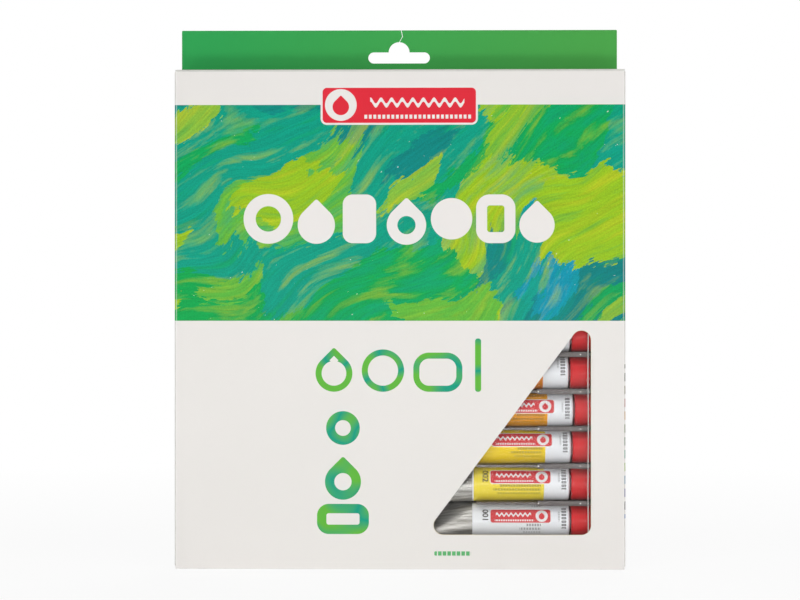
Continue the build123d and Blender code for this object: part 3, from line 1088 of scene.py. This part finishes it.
# %% Cap mesh and material
CAP_BORE = 4.55
CAP_FLOOR = CAP_LENGTH - 1.3
CAP_DISH = CAP_LENGTH - 0.25
CAP_SIDES = 64
CAP_PROFILE = [(CAP_FLOOR, 3.0), (CAP_FLOOR - 0.3, CAP_BORE), (0.25, CAP_BORE)]
CAP_PROFILE += [(0.0, CAP_BORE + 0.25), (0.0, CAP_RADIUS - 0.5), (0.12, CAP_RADIUS - 0.16)]
CAP_PROFILE += [(0.45, CAP_RADIUS), (CAP_LENGTH - 0.8, CAP_RADIUS - 0.05)]
CAP_PROFILE += [(CAP_LENGTH - 0.3, CAP_RADIUS - 0.28), (CAP_LENGTH, CAP_RADIUS - 0.9)]
CAP_PROFILE += [(CAP_LENGTH, CAP_RADIUS - 1.6), (CAP_DISH, CAP_RADIUS - 2.1), (CAP_DISH, 2.5)]


def cap_plastic():
    shader = Shader("cap_plastic", Specular_IOR_Level=0.2, Coat_Roughness=0.1)
    where = shader.spot()
    cloud = shader.noise(where, 0.12, 3.0, 0.5)
    grain = shader.noise(where, 1.5, 3.0, 0.6)
    colour = shader.mix(cloud, screen(208, 26, 32), screen(226, 36, 41))
    shader.set(Base_Color=colour, Roughness=0.34 + grain * 0.1, Coat_Weight=0.15 + cloud * 0.1)
    shader.set(Normal=shader.bump(grain, 0.008, 0.5))
    return shader.material


red_plastic = cap_plastic()
for index in range(2 * COLUMN):
    node = f"cap_{index + 1:02d}"
    low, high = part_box(node)
    turned = index >= COLUMN
    start = (high.x if turned else low.x, (low.y + high.y) / 2, (low.z + high.z) / 2)
    place = Matrix.Translation(start) @ Matrix.Rotation(math.pi * turned, 4, "Z")
    mesh = skin(f"{node}_skirt", lathe(CAP_PROFILE, CAP_SIDES))
    cap = add_piece(f"screw_{node}", mesh, f"{node}_body", red_plastic, place)
    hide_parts(node)
print("caps:", 2 * COLUMN, "radius", round(CAP_RADIUS, 2), "length", round(CAP_LENGTH, 2))

# %% [markdown]
# ## Floor, light and camera
#
# A carton with a satin print and metal tubes shows what stands around it, so its surroundings stay plain.
# The floor is matt and pale. Light Path tells which rays are seen, straight, off a gloss or through glass:
# for those the floor and the world are white, and no extra light falls on the carton for their sake.

# %% The floor
def seen_rays(tree):
    """1 for rays from the camera, off a gloss or through glass, and 0 for those that carry the light."""
    path = tree.nodes.new("ShaderNodeLightPath")
    seen = path.outputs["Is Camera Ray"]
    for ray in ("Is Glossy Ray", "Is Transmission Ray"):
        either = tree.nodes.new("ShaderNodeMath")
        either.operation = "MAXIMUM"
        tree.links.new(seen, either.inputs[0])
        tree.links.new(path.outputs[ray], either.inputs[1])
        seen = either.outputs[0]
    return seen


FLOOR_REACH = 30
SHADOW_REACH = 260.0
SHADOW_FADE = 500.0
SEEN_SHARE = 0.89
floor_mesh = bpy.data.meshes.new("floor")
corners = [(x * FLOOR_REACH, y * FLOOR_REACH, 0) for x, y in ((-1, -1), (1, -1), (1, 1), (-1, 1))]
floor_mesh.from_pydata(corners, [], [(0, 1, 2, 3)])
floor = bpy.data.objects.new("floor", floor_mesh)
bpy.context.collection.objects.link(floor)
floor.location.z = cad_box[0][2] - 0.0002

floor_shader = Shader("studio_floor", Base_Color=(0.9, 0.9, 0.9), Roughness=0.9)
seen = Wire(floor_shader, seen_rays(floor_shader.tree))
pale = floor_shader.node("ShaderNodeEmission", values={"Color": (1.0, 1.0, 1.0), "Strength": 1.0})
x, y, z = floor_shader.place()
away = (((x * x + y * y).root() - SHADOW_REACH) * (1.0 / SHADOW_FADE)).clamp()
matt = Wire(floor_shader, floor_shader.bsdf.outputs[0])
share = seen * (away * (1.0 - SEEN_SHARE) + SEEN_SHARE)
blend = floor_shader.node("ShaderNodeMixShader", values={0: share, 1: matt, 2: pale})
output = floor_shader.tree.nodes["Material Output"]
floor_shader.tree.links.new(blend.socket, output.inputs["Surface"])
floor.data.materials.append(floor_shader.material)


# %% [markdown]
# Wide soft lamps stand low at both sides, so that their light reaches the tubes under the film. One more
# hangs over the front, one lies on the floor before it, and a broad one behind lights the back. The world
# fills the shadows.

# %% Lamps and world
WORLD_LEVEL = 0.31


def lamp(name, place, target, size, power):
    """A rectangular soft lamp that looks at a point."""
    data = bpy.data.lights.new(name, "AREA")
    data.shape = "RECTANGLE"
    data.size, data.size_y = size
    data.energy = power
    piece = bpy.data.objects.new(name, data)
    bpy.context.collection.objects.link(piece)
    piece.location = place
    piece.rotation_euler = (Vector(target) - Vector(place)).to_track_quat("-Z", "Y").to_euler()


middle = (0.0, 0.0, 0.13)
lamp("left_lamp", (-1.15, -1.30, 0.12), middle, (0.9, 0.22), 3.2)
lamp("right_lamp", (1.15, -1.30, 0.12), middle, (0.9, 0.22), 2.55)
lamp("over_lamp", (0.05, -0.60, 1.20), middle, (1.5, 0.40), 4.3)
lamp("low_lamp", (0.0, -0.50, 0.006), middle, (1.0, 0.16), 2.1)
lamp("rear_lamp", (0.3, 1.5, 1.3), middle, (1.2, 1.2), 12.0)

world = bpy.data.worlds.new("studio")
world.use_nodes = True
links = world.node_tree.links
sky = world.node_tree.nodes["Background"]
sky.inputs["Color"].default_value = (1.0, 1.0, 1.0, 1.0)
strength = world.node_tree.nodes.new("ShaderNodeMapRange")
strength.inputs["To Min"].default_value = WORLD_LEVEL
links.new(seen_rays(world.node_tree), strength.inputs["Value"])
links.new(strength.outputs[0], sky.inputs["Strength"])
bpy.context.scene.world = world

# %% [markdown]
# A long lens from more than a metre away keeps the carton's sides straight. The camera stands a little
# to the right of its middle, and so just catches the right side panel.

# %% The camera, almost square on to the front panel
TURN = math.radians(1.1)
DISTANCE = 1.174
AIM = Vector((0.0002, front_plane * MM, 0.1373))
camera_data = bpy.data.cameras.new("camera")
camera_data.sensor_width = 36.0
camera_data.lens = 103.6
camera = bpy.data.objects.new("camera", camera_data)
bpy.context.collection.objects.link(camera)
camera.location = AIM + Vector((math.sin(TURN), -math.cos(TURN), 0.0)) * DISTANCE
camera.rotation_euler = (AIM - camera.location).to_track_quat("-Z", "Y").to_euler()
bpy.context.scene.camera = camera
bpy.context.scene.view_settings.view_transform = "Standard"
